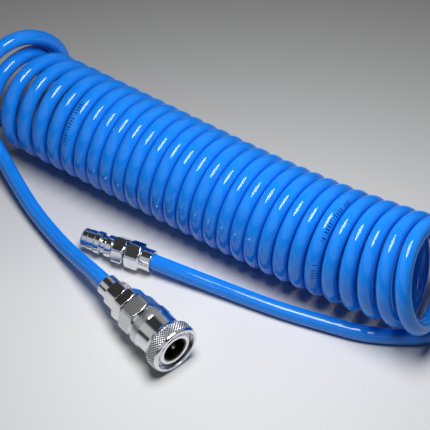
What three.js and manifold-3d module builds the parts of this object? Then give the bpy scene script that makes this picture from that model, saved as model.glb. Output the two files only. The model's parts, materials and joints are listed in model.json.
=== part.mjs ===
// Coiled polyurethane air hose with a quick-connect plug on one end and a socket on the other.
// Units are millimetres, +Z is up and the coil's axis runs along X.
// Each fitting is drawn along its own X axis, stations counted from where the hose enters.
import * as THREE from 'three';
import { mergeVertices } from 'three/addons/utils/BufferGeometryUtils.js';
import Module from 'manifold-3d';

const wasm = await Module();
wasm.setup();

// Hose
const TUBE_RADIUS = 4;
const TUBE_BORE_RADIUS = 2.5;
const TUBE_SIDES = 8;
const BORE_SIDES = 5;
const STEPS_PER_TURN = 10;
const POINTS_PER_TURN = 12;
const PITCH = 8.08;
const COIL_RADIUS = 24.4;
const MIDDLE_TURN = 14;
const LAST_CLOSED_TURN = 19;
const FIRST_CLOSED_TURN = 7;
const PLUG_END_SPREAD = 0.128;
const PLUG_END_LEAN = 0.1;
const PLUG_END_SHEAR = 0.02;
const PLUG_END_RISE = 9;
const SOCKET_END_SPREAD = 0.15;
const SOCKET_END_LEAN = 0.1;
const SOCKET_END_SHEAR = 0.08;
const LEAN = 0.9;
const SHEAR = 0.45;
const SEAM_GAP = 0.3;
const TUBE_DEPTH_IN_NUT = 9.2;

// Lengths along the hose, from its plug end, where one piece of the model gives way to the next
const PLUG_TAIL_END = 79.5;
const PLUG_ROOT_END = 206;
const SOCKET_TAIL_LENGTH = 108;

// Fittings: the hose entry of each, and the heading of its mating end in degrees about Z
const PLUG = { entry: new THREE.Vector3(-3, -43.9, 7.4), heading: 189.4 };
const SOCKET = { entry: new THREE.Vector3(-10.2, -73, 13.4), heading: -15.5 };
const ROUND_STEPS = 24;
const SLEEVE_STEPS = 32;
const NUT_FLATS = 13;
const PLUG_FLATS = 13;
const ADAPTER_FLATS = 17;
const BODY_FLATS = 19;
const BALL_COUNT = 6;
const BALL_RADIUS = 2.1;
const BALL_HOLE_RADIUS = 2.3;
const BALL_CIRCLE_RADIUS = 6.95;
const BALL_STATION = 47.4;

// How far each hexagon is rolled about its axis from having a flat straight up, in degrees
const PLUG_NUT_ROLL = -27;
const PLUG_BODY_ROLL = -15;
const SOCKET_ROLL = 15;

const CHROME = { color: 0xc9ccd0, roughness: 0.15, metalness: 1 };
const STEEL = { color: 0xa9acb0, roughness: 0.3, metalness: 1 };
const BRASS = { color: 0xb08a45, roughness: 0.35, metalness: 1 };
const RUBBER = { color: 0x17181a, roughness: 0.8, metalness: 0 };
const BLUE_TUBE = { color: 0x1668e6, roughness: 0.2, metalness: 0 };

// ---- solids ----

function toManifold(geometry) {
  const bare = new THREE.BufferGeometry();
  bare.setAttribute('position', geometry.getAttribute('position'));
  bare.setIndex(geometry.getIndex());
  const merged = mergeVertices(bare, 1e-4);
  return new wasm.Manifold(new wasm.Mesh({
    numProp: 3,
    vertProperties: new Float32Array(merged.getAttribute('position').array),
    triVerts: new Uint32Array(merged.getIndex().array),
  }));
}

function toGeometry(solid) {
  const mesh = solid.getMesh();
  const geometry = new THREE.BufferGeometry();
  geometry.setAttribute('position', new THREE.BufferAttribute(mesh.vertProperties, 3));
  geometry.setIndex(new THREE.BufferAttribute(mesh.triVerts, 1));
  return geometry;
}

function circle(radius, count) {
  return Array.from({ length: count }, (_, i) => {
    const angle = (2 * Math.PI * i) / count;
    return new THREE.Vector2(radius * Math.cos(angle), radius * Math.sin(angle));
  });
}

// A body turned about X. Its outline is a list of [station, radius], outer side first with the
// station growing, and then the bore on the way back.
function turned(outline, steps = ROUND_STEPS) {
  const closed = outline[0][1] > 0 ? [...outline, outline[0]] : outline;
  const profile = closed.map(([station, radius]) => new THREE.Vector2(radius, station));
  const geometry = new THREE.LatheGeometry(profile, steps);
  geometry.rotateZ(-Math.PI / 2);
  return toManifold(geometry);
}

// A round bar or hole about X.
function round(radius, start, end) {
  return turned([[start, 0], [start, radius], [end, radius], [end, 0]]);
}

// A hexagonal bar about X, rolled from having a flat on top, with its corners turned down at
// both ends.
function hexagon(flats, start, end, cornerCut, roll) {
  const cornerRadius = flats / Math.sqrt(3);
  const bar = new THREE.CylinderGeometry(cornerRadius, cornerRadius, end - start, 6);
  bar.rotateZ(-Math.PI / 2);
  bar.rotateX(THREE.MathUtils.degToRad(30 + roll));
  bar.translate((start + end) / 2, 0, 0);
  const blank = turned([
    [start, 0],
    [start, cornerRadius - cornerCut],
    [start + cornerCut, cornerRadius + 0.1],
    [end - cornerCut, cornerRadius + 0.1],
    [end, cornerRadius - cornerCut],
    [end, 0],
  ]);
  return toManifold(bar).intersect(blank);
}

// A wire spring about X.
class SpringLine extends THREE.Curve {
  constructor(radius, start, end, turns) {
    super();
    Object.assign(this, { radius, start, end, turns });
    this.arcLengthDivisions = 400;
  }

  getPoint(t, target = new THREE.Vector3()) {
    const angle = 2 * Math.PI * this.turns * t;
    const station = THREE.MathUtils.lerp(this.start, this.end, t);
    return target.set(station, this.radius * Math.cos(angle), this.radius * Math.sin(angle));
  }
}

function spring(radius, wireRadius, start, end, turns) {
  return new THREE.ExtrudeGeometry(new THREE.Shape(circle(wireRadius, 6)), {
    steps: turns * 16,
    extrudePath: new SpringLine(radius, start, end, turns),
  });
}

// ---- hose centre line ----

// A point of the coil, counted in turns from the socket end. Every turn leans a little and both
// ends are pulled apart and lean more. The plug end climbs where it lies over its own tail.
function coilPoint(turn) {
  const plugSide = Math.max(0, turn - LAST_CLOSED_TURN);
  const socketSide = Math.max(0, FIRST_CLOSED_TURN - turn);
  const spread = PLUG_END_SPREAD * plugSide ** 2 - SOCKET_END_SPREAD * socketSide ** 2;
  const lean = LEAN + SOCKET_END_LEAN * socketSide ** 2 + PLUG_END_LEAN * plugSide ** 2;
  const shear = SHEAR - SOCKET_END_SHEAR * socketSide ** 2 + PLUG_END_SHEAR * plugSide ** 2;
  const rise = PLUG_END_RISE * Math.max(0, turn / MIDDLE_TURN - 1) ** 2.5;
  const angle = 2 * Math.PI * turn;
  return new THREE.Vector3(
    PITCH * (turn - MIDDLE_TURN) + spread + lean * Math.cos(angle) + shear * Math.sin(angle),
    rise / 5 - COIL_RADIUS * Math.sin(angle),
    TUBE_RADIUS + COIL_RADIUS + rise - COIL_RADIUS * Math.cos(angle),
  );
}

function coilRun(first, last) {
  const count = Math.round((first - last) * POINTS_PER_TURN);
  return Array.from({ length: count + 1 }, (_, i) => coilPoint(first - i / POINTS_PER_TURN));
}

function fittingPoint(fitting, station) {
  const heading = THREE.MathUtils.degToRad(fitting.heading);
  const along = new THREE.Vector3(Math.cos(heading), Math.sin(heading), 0);
  return fitting.entry.clone().addScaledVector(along, station);
}

const points = (rows) => rows.map((row) => new THREE.Vector3(...row));

// The tail on the floor in front of the coil, and its climb into the last turn.
const PLUG_TAIL = points([
  [31, -37.6, 5], [66, -31.6, 4], [90, -25.9, 4], [106, -21.5, 4], [123, -12.7, 4],
  [134.6, -3.5, 4.3], [141.5, 8, 8.5], [141, 19.5, 17], [136, 25.8, 28],
]);

// One slack turn that stands over the coil's far end and comes back inside itself.
const SLACK_TURN = points([
  [-109, 14, 8.6], [-111.5, 24, 24], [-113, 25.5, 40], [-114.6, 19.5, 52.6], [-116.2, 11, 61.3],
  [-118.5, 2, 66.6], [-121.5, -6.5, 67.2], [-125, -14.5, 63.4], [-129, -22, 54.5],
  [-133, -27, 42], [-136.8, -26.5, 27], [-138.3, -19.5, 13], [-136.3, -7, 5], [-131.5, 7, 6.5],
  [-125.5, 18, 15.5], [-121.9, 23.3, 28], [-120.1, 20, 40], [-119.6, 12, 48.8],
]);

// The run down from the coil and along the floor to the socket.
const SOCKET_TAIL = points([
  [-122.7, -25.8, 30], [-120.6, -28.4, 21.5], [-115.8, -30.4, 15.2], [-108.6, -33.3, 11.2],
  [-95.3, -40, 8.2], [-76, -49.2, 6], [-51.3, -59, 6.5], [-33.4, -65.4, 9.5],
]);

const hoseLine = new THREE.CatmullRomCurve3([
  fittingPoint(PLUG, TUBE_DEPTH_IN_NUT),
  fittingPoint(PLUG, TUBE_DEPTH_IN_NUT / 2),
  fittingPoint(PLUG, 0),
  ...PLUG_TAIL,
  ...coilRun(28.75, 1),
  ...SLACK_TURN,
  ...coilRun(0.5, 1 / 3),
  ...SOCKET_TAIL,
  fittingPoint(SOCKET, -6),
  fittingPoint(SOCKET, 0),
  fittingPoint(SOCKET, TUBE_DEPTH_IN_NUT / 2),
  fittingPoint(SOCKET, TUBE_DEPTH_IN_NUT),
], false, 'centripetal');
hoseLine.arcLengthDivisions = 8000;
const HOSE_LENGTH = hoseLine.getLength();

class HoseRun extends THREE.Curve {
  constructor(start, end) {
    super();
    Object.assign(this, { start, end });
  }

  getPoint(t, target = new THREE.Vector3()) {
    return hoseLine.getPointAt(THREE.MathUtils.lerp(this.start, this.end, t) / HOSE_LENGTH, target);
  }
}

function hose(start, end, stepLength) {
  const section = new THREE.Shape(circle(TUBE_RADIUS, TUBE_SIDES));
  section.holes.push(new THREE.Path(circle(TUBE_BORE_RADIUS, BORE_SIDES)));
  return new THREE.ExtrudeGeometry(section, {
    steps: Math.round((end - start) / stepLength),
    extrudePath: new HoseRun(start, end),
  });
}

// ---- fittings ----

// The nut that clamps the hose on its barb, the same on both fittings.
function hoseNut(roll) {
  const outer = turned([
    [0, 0], [0, 5.3], [0.4, 5.7], [5.8, 5.7], [6.4, 5.2], [14, 5.2], [14, 0],
  ]);
  const bore = turned([
    [-1, 0], [-1, 4.3], [6, 4.3], [7, 5.6], [15, 5.6], [15, 0],
  ]);
  return outer.add(hexagon(NUT_FLATS, 6.2, 14, 0.8, roll)).subtract(bore);
}

// The barb and threaded stud that the hose and its nut go onto, up to a station beyond the nut.
function hoseStem(end) {
  return turned([
    [2, 0], [2, 1.5], [3, 1.75], [9.6, 1.75], [9.6, 5.3], [end, 5.3], [end, 0],
  ]);
}

function plugBody() {
  const nose = turned([
    [21, 0], [21, 5.2], [21.8, 5.2], [22.2, 5.8], [25.4, 5.8], [26, 4.6], [28, 4.6],
    [28.8, 5.9], [31.6, 5.9], [32.2, 5.3], [36, 5.3], [36.3, 5.1], [39, 5.1], [39.6, 4.7],
    [39.6, 0],
  ]);
  const bore = turned([[1, 0], [1, 1.2], [14, 1.2], [17, 3], [40, 3], [40, 0]]);
  const hex = hexagon(PLUG_FLATS, 14.8, 21.3, 0.7, PLUG_BODY_ROLL);
  return hoseStem(15).add(hex).add(nose).subtract(bore);
}

function socketAdapter() {
  const spigot = round(7.4, 20.4, 30.4);
  const bore = turned([
    [1, 0], [1, 1.2], [17, 1.2], [19, 3], [19, 6.4], [31, 6.4], [31, 0],
  ]);
  const hex = hexagon(ADAPTER_FLATS, 14.7, 20.8, 0.9, SOCKET_ROLL);
  return hoseStem(15).add(hex).add(spigot).subtract(bore);
}

function socketBody() {
  const outer = turned([
    [21.4, 0], [21.4, 8.5], [30.4, 8.5], [30.4, 9.9], [32.4, 9.9], [32.4, 9], [50.8, 9],
    [50.8, 8.3], [51.9, 8.3], [51.9, 9], [53.4, 9], [53.7, 8.7], [53.7, 0],
  ]);
  const bore = turned([
    [20, 0], [20, 7.7], [30.7, 7.7], [30.7, 6.6], [34, 6.6], [34, 4.4], [35.6, 4.4],
    [35.6, 5.4], [38.1, 5.4], [38.1, 6.9], [40.3, 6.9], [40.3, 5.4], [42, 5.4], [42.8, 6.3],
    [53.3, 6.3], [53.7, 7], [54.7, 8.75], [54.7, 0],
  ]);
  const hex = hexagon(BODY_FLATS, 21.4, 30.5, 0.9, SOCKET_ROLL);
  const hole = new THREE.CylinderGeometry(BALL_HOLE_RADIUS, BALL_HOLE_RADIUS, 6, 12);
  hole.translate(BALL_STATION, 8, 0);
  const cutter = toManifold(hole);
  const holes = ballAngles().map((angle) => cutter.rotate([angle, 0, 0]));
  return [bore, ...holes].reduce((body, cut) => body.subtract(cut), outer.add(hex));
}

function ballAngles() {
  return Array.from({ length: BALL_COUNT }, (_, i) => (i * 360) / BALL_COUNT);
}

// The sleeve: its land holds the balls in, and a cone ahead of the land lets them out.
function lockSleeve() {
  return turned([
    [32.8, 10.2], [32.8, 11.3], [33, 11.5], [37.6, 11.5], [38, 11.2], [45.4, 11.2],
    [46.6, 11.9], [47.7, 13], [48, 13.3], [53.6, 13.3], [54.4, 12.9], [54.7, 12.3],
    [54.7, 11.3], [54.4, 11], [50.9, 11], [50.9, 10.4], [49.6, 10.4], [47.2, 9.2],
    [42.4, 9.2], [42.4, 10.2],
  ], SLEEVE_STEPS);
}

// The open retaining ring in the body's outer groove.
function snapRing() {
  const gap = THREE.MathUtils.degToRad(10);
  const outline = new THREE.Shape();
  outline.absarc(0, 0, 10.8, gap, 2 * Math.PI - gap, false);
  outline.absarc(0, 0, 8.5, 2 * Math.PI - gap, gap, true);
  const ring = new THREE.ExtrudeGeometry(outline, { depth: 0.7, bevelEnabled: false, curveSegments: 12 });
  ring.rotateY(Math.PI / 2);
  ring.translate(51, 0, 0);
  return ring;
}

// The shut-off valve: a disc behind the seat and a ported stem that the plug's nose pushes.
function valvePoppet() {
  const blank = turned([
    [31.2, 0], [31.2, 5.7], [32.8, 5.7], [32.8, 3.9], [39, 3.9], [39, 2.7], [34, 2.7],
    [34, 0],
  ]);
  const port = new THREE.BoxGeometry(3, 2.4, 12);
  port.translate(36, 0, 0);
  const cutter = toManifold(port);
  return [0, 60, 120].reduce((body, angle) => body.subtract(cutter.rotate([angle, 0, 0])), blank);
}

// ---- assembly ----

const group = new THREE.Group();
group.name = 'coiled_air_hose';

function add(parent, name, shape, finish) {
  const geometry = shape.isBufferGeometry ? shape : toGeometry(shape);
  const mesh = new THREE.Mesh(geometry, new THREE.MeshStandardMaterial(finish));
  mesh.name = name;
  parent.add(mesh);
  return mesh;
}

function addFitting(name, place) {
  const fitting = new THREE.Group();
  fitting.name = name;
  fitting.position.copy(place.entry);
  fitting.rotation.z = THREE.MathUtils.degToRad(place.heading);
  group.add(fitting);
  return fitting;
}

const turnLength = 2 * Math.PI * COIL_RADIUS;
const socketTailStart = HOSE_LENGTH - SOCKET_TAIL_LENGTH;
add(group, 'hose_plug_tail', hose(0, PLUG_TAIL_END, 7), BLUE_TUBE);
add(group, 'hose_plug_root', hose(PLUG_TAIL_END + SEAM_GAP, PLUG_ROOT_END, 6.5), BLUE_TUBE);
add(
  group,
  'hose_coil',
  hose(PLUG_ROOT_END + SEAM_GAP, socketTailStart - SEAM_GAP, turnLength / STEPS_PER_TURN),
  BLUE_TUBE,
);
add(group, 'hose_socket_tail', hose(socketTailStart, HOSE_LENGTH, 7), BLUE_TUBE);

const plug = addFitting('plug', PLUG);
add(plug, 'plug_nut', hoseNut(PLUG_NUT_ROLL), CHROME);
add(plug, 'plug_body', plugBody(), CHROME);

const socket = addFitting('socket', SOCKET);
add(socket, 'socket_nut', hoseNut(SOCKET_ROLL), CHROME);
add(socket, 'socket_adapter', socketAdapter(), CHROME);
add(socket, 'adapter_gasket', turned([[20.9, 7.8], [20.9, 8.4], [21.3, 8.4], [21.3, 7.8]]), RUBBER);
add(socket, 'socket_body', socketBody(), CHROME);
add(socket, 'lock_sleeve', lockSleeve(), CHROME);
add(socket, 'sleeve_spring', spring(9.6, 0.4, 32.9, 41.9, 5), STEEL);
add(socket, 'snap_ring', snapRing(), STEEL);
add(socket, 'nose_seal', turned([[38.3, 5.15], [38.3, 6.7], [40.1, 6.7], [40.1, 5.15]]), RUBBER);
add(socket, 'valve_poppet', valvePoppet(), BRASS);
add(socket, 'valve_seal', turned([[33, 4.15], [33, 5.6], [33.8, 5.6], [33.8, 4.15]]), RUBBER);
add(socket, 'valve_spring', spring(4.6, 0.45, 19.6, 30.6, 5), STEEL);
ballAngles().forEach((angle, i) => {
  const ball = add(socket, `lock_ball_${i + 1}`, new THREE.SphereGeometry(BALL_RADIUS, 10, 7), STEEL);
  ball.rotation.x = THREE.MathUtils.degToRad(angle);
  ball.position.set(BALL_STATION, BALL_CIRCLE_RADIUS, 0);
  ball.position.applyAxisAngle(new THREE.Vector3(1, 0, 0), ball.rotation.x);
});

// The origin is the centre of the whole object's footprint on the floor.
const bounds = new THREE.Box3().setFromObject(group, true);
const footprint = bounds.getCenter(new THREE.Vector3());
group.position.set(-footprint.x, -footprint.y, -bounds.min.z);

export default group;
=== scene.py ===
import json
import math

import bpy
import numpy as np
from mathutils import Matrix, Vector

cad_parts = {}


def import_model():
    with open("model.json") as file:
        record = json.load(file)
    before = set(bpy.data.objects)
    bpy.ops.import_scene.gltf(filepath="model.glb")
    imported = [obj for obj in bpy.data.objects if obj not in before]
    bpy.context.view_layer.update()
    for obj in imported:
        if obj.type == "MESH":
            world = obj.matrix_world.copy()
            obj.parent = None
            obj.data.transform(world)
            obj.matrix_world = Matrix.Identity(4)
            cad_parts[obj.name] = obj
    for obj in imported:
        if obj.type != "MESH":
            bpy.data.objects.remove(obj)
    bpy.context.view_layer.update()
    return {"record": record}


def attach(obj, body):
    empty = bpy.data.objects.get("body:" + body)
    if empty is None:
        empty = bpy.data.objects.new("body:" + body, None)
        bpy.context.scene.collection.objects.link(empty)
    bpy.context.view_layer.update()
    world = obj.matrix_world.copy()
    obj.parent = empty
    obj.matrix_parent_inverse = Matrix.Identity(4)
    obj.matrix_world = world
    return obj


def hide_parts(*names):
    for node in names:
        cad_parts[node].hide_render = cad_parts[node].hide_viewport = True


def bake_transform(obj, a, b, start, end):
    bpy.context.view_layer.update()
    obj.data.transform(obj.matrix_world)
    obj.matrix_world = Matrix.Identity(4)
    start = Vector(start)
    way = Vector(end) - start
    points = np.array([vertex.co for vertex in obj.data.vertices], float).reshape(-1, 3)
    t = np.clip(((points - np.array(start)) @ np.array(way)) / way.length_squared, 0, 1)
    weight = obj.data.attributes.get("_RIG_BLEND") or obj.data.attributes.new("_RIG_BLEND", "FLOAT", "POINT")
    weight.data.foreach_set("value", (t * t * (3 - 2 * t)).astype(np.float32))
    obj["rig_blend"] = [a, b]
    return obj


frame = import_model()

MM = 0.001
TURN = 2 * math.pi
mounts = {mount["name"]: mount for mount in frame["record"]["mounts"]}


# ---- the fittings' own frames ----

class Fitting:
    """A fitting's own frame. Stations run along its axis, from where the hose enters to the
    mating face, and Z is up. The mount on the mating face fixes it: that mount lies at the given
    station and height above the axis."""

    def __init__(self, face, station, height):
        along = Vector(mounts[face]["axis"]).normalized()
        self.entry = Vector(mounts[face]["pos_m"]) / MM - along * station - Vector((0, 0, height))
        self.basis = np.array([along, (-along.y, along.x, 0), (0, 0, 1)])

    def place(self, points):
        """From this frame's millimetres to the record's metres."""
        return (np.array(self.entry) + np.asarray(points, float) @ self.basis) * MM

    def local(self, points):
        """From the record's metres to this frame's millimetres."""
        return (np.asarray(points) / MM - np.array(self.entry)) @ self.basis.T

    def point(self, station):
        """The point of the axis at that station, in millimetres in the record's frame."""
        return np.array(self.entry) + station * self.basis[0]


plug = Fitting("plug_nose_face", station=39.6, height=4)
socket = Fitting("socket_front_face", station=53.7, height=7.85)

# The drawing of the hose has its own origin on the floor under the middle of the coil.
PLUG_ENTRY = np.array([-3, -43.9, 7.4])
origin = np.array(plug.entry) - PLUG_ENTRY


# ---- hose centre line ----

TUBE_RADIUS = 4
BORE_RADIUS = 2.5
TUBE_SIDES = 40
TUBE_STEP = 1.4
PITCH = 8.08
COIL_RADIUS = 24.4
TUBE_DEPTH_IN_NUT = 9.2

# How the coil departs from an even one, in millimetres. The values for a side are multiplied by
# the square of the turns past the closed ones.
PLUG_SIDE_SPREAD, SOCKET_SIDE_SPREAD = 0.128, 0.15
LEAN, PLUG_SIDE_LEAN, SOCKET_SIDE_LEAN = 0.9, 0.1, 0.1
SHEAR, PLUG_SIDE_SHEAR, SOCKET_SIDE_SHEAR = 0.45, 0.02, 0.08
RISE, RISE_POWER = 9, 2.5

# Turns are counted from the socket end. The coil is a little open outside the closed turns, and
# one stretch of it is replaced by the points of SLACK_TURN.
FIRST_TURN = 1 / 3
SLACK_START = 0.5
SLACK_END = 1
FIRST_CLOSED_TURN = 7
MIDDLE_TURN = 14
LAST_CLOSED_TURN = 19
LAST_TURN = 28.75

# Lengths along the hose from its plug end, and the last one from its socket end.
PLUG_TAIL_END = 79.5
PLUG_ROOT_END = 206
SOCKET_TAIL_LENGTH = 108

# Points of the hose outside the coil, from the plug to the socket.
PLUG_TAIL = [
    (31, -37.6, 5), (66, -31.6, 4), (90, -25.9, 4), (106, -21.5, 4), (123, -12.7, 4),
    (134.6, -3.5, 4.3), (141.5, 8, 8.5), (141, 19.5, 17), (136, 25.8, 28),
]
SLACK_TURN = [
    (-109, 14, 8.6), (-111.5, 24, 24), (-113, 25.5, 40), (-114.6, 19.5, 52.6),
    (-116.2, 11, 61.3), (-118.5, 2, 66.6), (-121.5, -6.5, 67.2), (-125, -14.5, 63.4),
    (-129, -22, 54.5), (-133, -27, 42), (-136.8, -26.5, 27), (-138.3, -19.5, 13),
    (-136.3, -7, 5), (-131.5, 7, 6.5), (-125.5, 18, 15.5), (-121.9, 23.3, 28),
    (-120.1, 20, 40), (-119.6, 12, 48.8),
]
SOCKET_TAIL = [
    (-122.7, -25.8, 30), (-120.6, -28.4, 21.5), (-115.8, -30.4, 15.2), (-108.6, -33.3, 11.2),
    (-95.3, -40, 8.2), (-76, -49.2, 6), (-51.3, -59, 6.5), (-33.4, -65.4, 9.5),
]


def coil_point(turn):
    """A point of the coil. Towards its ends the turns spread and lean, and the plug end rises,
    going back a fifth as far."""
    plug_side = max(0, turn - LAST_CLOSED_TURN)
    socket_side = max(0, FIRST_CLOSED_TURN - turn)
    spread = PLUG_SIDE_SPREAD * plug_side ** 2 - SOCKET_SIDE_SPREAD * socket_side ** 2
    lean = LEAN + SOCKET_SIDE_LEAN * socket_side ** 2 + PLUG_SIDE_LEAN * plug_side ** 2
    shear = SHEAR - SOCKET_SIDE_SHEAR * socket_side ** 2 + PLUG_SIDE_SHEAR * plug_side ** 2
    rise = RISE * max(0, turn / MIDDLE_TURN - 1) ** RISE_POWER
    angle = TURN * turn
    return (
        PITCH * (turn - MIDDLE_TURN) + spread + lean * math.cos(angle) + shear * math.sin(angle),
        rise / 5 - COIL_RADIUS * math.sin(angle),
        TUBE_RADIUS + COIL_RADIUS + rise - COIL_RADIUS * math.cos(angle),
    )


def coil_run(first, last, points_per_turn=12):
    """Points of the coil from one turn down to another."""
    count = round((first - last) * points_per_turn)
    return [coil_point(first - i / points_per_turn) for i in range(count + 1)]


def through(points, samples=12):
    """A centripetal Catmull-Rom curve through the points."""
    points = np.array(points, float)
    ends = [2 * points[0] - points[1], 2 * points[-1] - points[-2]]
    padded = np.vstack([ends[0], points, ends[1]])
    curve = []
    for p0, p1, p2, p3 in zip(padded, padded[1:], padded[2:], padded[3:]):
        t0 = 0
        t1 = t0 + np.linalg.norm(p1 - p0) ** 0.5
        t2 = t1 + np.linalg.norm(p2 - p1) ** 0.5
        t3 = t2 + np.linalg.norm(p3 - p2) ** 0.5
        t = np.linspace(t1, t2, samples, endpoint=False)[:, None]
        a1 = ((t1 - t) * p0 + (t - t0) * p1) / (t1 - t0)
        a2 = ((t2 - t) * p1 + (t - t1) * p2) / (t2 - t1)
        a3 = ((t3 - t) * p2 + (t - t2) * p3) / (t3 - t2)
        b1 = ((t2 - t) * a1 + (t - t0) * a2) / (t2 - t0)
        b2 = ((t3 - t) * a2 + (t - t1) * a3) / (t3 - t1)
        curve.append(((t2 - t) * b1 + (t - t1) * b2) / (t2 - t1))
    return np.vstack(curve + [points[-1:]])


def arc_lengths(line):
    """The length along the line at each of its points."""
    return np.concatenate([[0], np.cumsum(np.linalg.norm(np.diff(line, axis=0), axis=1))])


def resampled(line, step):
    """Points at even distances along the line."""
    length = arc_lengths(line)
    stations = np.linspace(0, length[-1], round(length[-1] / step) + 1)
    return np.stack([np.interp(stations, length, line[:, k]) for k in range(3)], axis=1)


def smoothed(line, width):
    """A running average with a bell weight, with both ends carried on straight."""
    reach = 3 * width
    before = line[0] + np.arange(-reach, 0)[:, None] * (line[1] - line[0])
    after = line[-1] + np.arange(1, reach + 1)[:, None] * (line[-1] - line[-2])
    padded = np.vstack([before, line, after])
    weight = np.exp(-0.5 * (np.arange(-reach, reach + 1) / width) ** 2)
    weight /= weight.sum()
    return np.stack([np.convolve(padded[:, k], weight, "valid") for k in range(3)], axis=1)


def on_axis(fitting, *stations):
    """Points of a fitting's axis, in the frame of the hose's drawing."""
    return [fitting.point(station) - origin for station in stations]


def hose_line():
    """Points about 1 mm apart along the middle of the hose, from the plug to the socket."""
    points = [
        *on_axis(plug, TUBE_DEPTH_IN_NUT, TUBE_DEPTH_IN_NUT / 2, 0), *PLUG_TAIL,
        *coil_run(LAST_TURN, SLACK_END), *SLACK_TURN,
        *coil_run(SLACK_START, FIRST_TURN), *SOCKET_TAIL,
        *on_axis(socket, -6, 0, TUBE_DEPTH_IN_NUT / 2, TUBE_DEPTH_IN_NUT),
    ]
    return smoothed(resampled(through(points), 1), 3)


line = hose_line()
line_length = arc_lengths(line)
HOSE_LENGTH = line_length[-1]


# ---- mesh helpers ----

def new_mesh(name, points, faces):
    mesh = bpy.data.meshes.new(name)
    mesh.from_pydata([tuple(p) for p in points], [], faces)
    mesh.validate()
    mesh.shade_smooth()
    piece = bpy.data.objects.new(name, mesh)
    bpy.context.scene.collection.objects.link(piece)
    return piece


def point_attribute(piece, name, values):
    """Keeps three numbers at each point, for the material to read."""
    attribute = piece.data.attributes.new(name, "FLOAT_VECTOR", "POINT")
    attribute.data.foreach_set("vector", np.asarray(values, np.float32).ravel())


def finished(piece, body, slot, material, *nodes):
    """Gives a piece its material, hides the model's parts for the nodes it stands for and, unless
    it is blended between two bodies, attaches it to the body it rides on. slot is not used."""
    piece.data.materials.append(material)
    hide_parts(*nodes)
    if body:
        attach(piece, body)
    return piece


def grid_faces(rows, columns, close_rows):
    """Quads between successive rings of points; each ring closes on itself."""
    faces = []
    for i in range(rows if close_rows else rows - 1):
        a = i * columns
        b = (i + 1) % rows * columns
        for j in range(columns):
            k = (j + 1) % columns
            faces.append((a + j, a + k, b + k, b + j))
    return faces


def end_faces(rows, columns):
    """The two faces that close an open grid of rings at its first and its last ring."""
    first = tuple(range(columns))
    last = tuple(range((rows - 1) * columns, rows * columns))
    return [first[::-1], last]


def keep_edges_crisp(piece, degrees=35):
    """Keeps sharp edges sharp, and flats evenly shaded beside their rounded edges."""
    piece.data.set_sharp_from_angle(angle=math.radians(degrees))
    weighted = piece.modifiers.new("weighted_normals", "WEIGHTED_NORMAL")
    weighted.keep_sharp = True
    weighted.weight = 60
    return piece


# A corner whose two sides make a larger angle than this is left as it is.
NEARLY_STRAIGHT = math.radians(172)


def rounded(outline, radius, segments=3, closed=True):
    """The outline with an arc of that radius, or as much as fits, in place of each corner."""
    points = [Vector(p) for p in outline]
    count = len(points)
    result = []
    for i, corner in enumerate(points):
        if not closed and i in (0, count - 1):
            result.append(tuple(corner))
            continue
        back = points[i - 1] - corner
        ahead = points[(i + 1) % count] - corner
        angle = back.angle(ahead)
        if angle > NEARLY_STRAIGHT:
            result.append(tuple(corner))
            continue
        reach = min(radius / math.tan(angle / 2), 0.45 * back.length, 0.45 * ahead.length)
        start = corner + back.normalized() * reach
        end = corner + ahead.normalized() * reach
        for step in range(segments + 1):
            t = step / segments
            result.append(tuple(start * (1 - t) ** 2 + corner * 2 * t * (1 - t) + end * t ** 2))
    return result


def even_angles(count):
    return np.arange(count) * TURN / count


def ring_points(station, radii, angles):
    """The points of one ring around a fitting's axis, in its frame."""
    ring = [np.full(len(angles), station), radii * np.cos(angles), radii * np.sin(angles)]
    return np.stack(ring, axis=1)


def fitting_mesh(name, fitting, local, faces):
    """A mesh from points in a fitting's frame, which its material reads as local_mm."""
    piece = new_mesh(name, fitting.place(local), faces)
    point_attribute(piece, "local_mm", local)
    return piece


def lathe(name, fitting, outline, angles, limit=None):
    """A closed outline of (station, radius) turned about the fitting's axis.
    limit gives the largest radius at a station and the turned angles, as for a hexagon."""
    rings = []
    for station, radius in outline:
        radii = np.full(len(angles), float(radius))
        if limit is not None:
            radii = np.minimum(radii, limit(station, angles))
        rings.append(ring_points(station, radii, angles))
    return fitting_mesh(name, fitting, np.vstack(rings), grid_faces(len(rings), len(angles), True))


# A station this close to the end of a stretch still belongs to it.
SAME_PLACE = 1e-6


def densified(outline, start, end, step):
    """More points on the outline's outer stretch between two stations."""
    result = []
    for (s0, r0), (s1, r1) in zip(outline, outline[1:] + outline[:1]):
        result.append((s0, r0))
        if min(s0, s1) >= start - SAME_PLACE and max(s0, s1) <= end + SAME_PLACE and s0 < s1:
            extra = int((s1 - s0) / step)
            for i in range(1, extra + 1):
                t = i / (extra + 1)
                result.append((s0 + t * (s1 - s0), r0 + t * (r1 - r0)))
    return result


# A hexagon's corners are rounded off at this share of the full corner radius.
CORNER_SHARE = 0.984
SIXTH = TURN / 6


def hexagon_radius(flats, roll, angles):
    """Distance from the axis to a hexagon at each angle from +Y. Its roll in degrees is
    counted from having a flat straight up."""
    from_flat = (angles - TURN / 4 - math.radians(roll) + SIXTH / 2) % SIXTH - SIXTH / 2
    return np.minimum(flats / 2 / np.cos(from_flat), CORNER_SHARE * flats / math.sqrt(3))


def hexagon_angles(roll):
    """Angles with points close together at the corners and spread over the flats."""
    reach = math.acos(math.sqrt(3) / 2 / CORNER_SHARE)
    flat = np.linspace(-reach, reach, 13)
    corner = np.linspace(reach, SIXTH - reach, 5)[1:-1]
    sector = np.concatenate([flat, corner]) + TURN / 4 + math.radians(roll)
    return np.concatenate([k * TURN / 6 + sector for k in range(6)])


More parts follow.
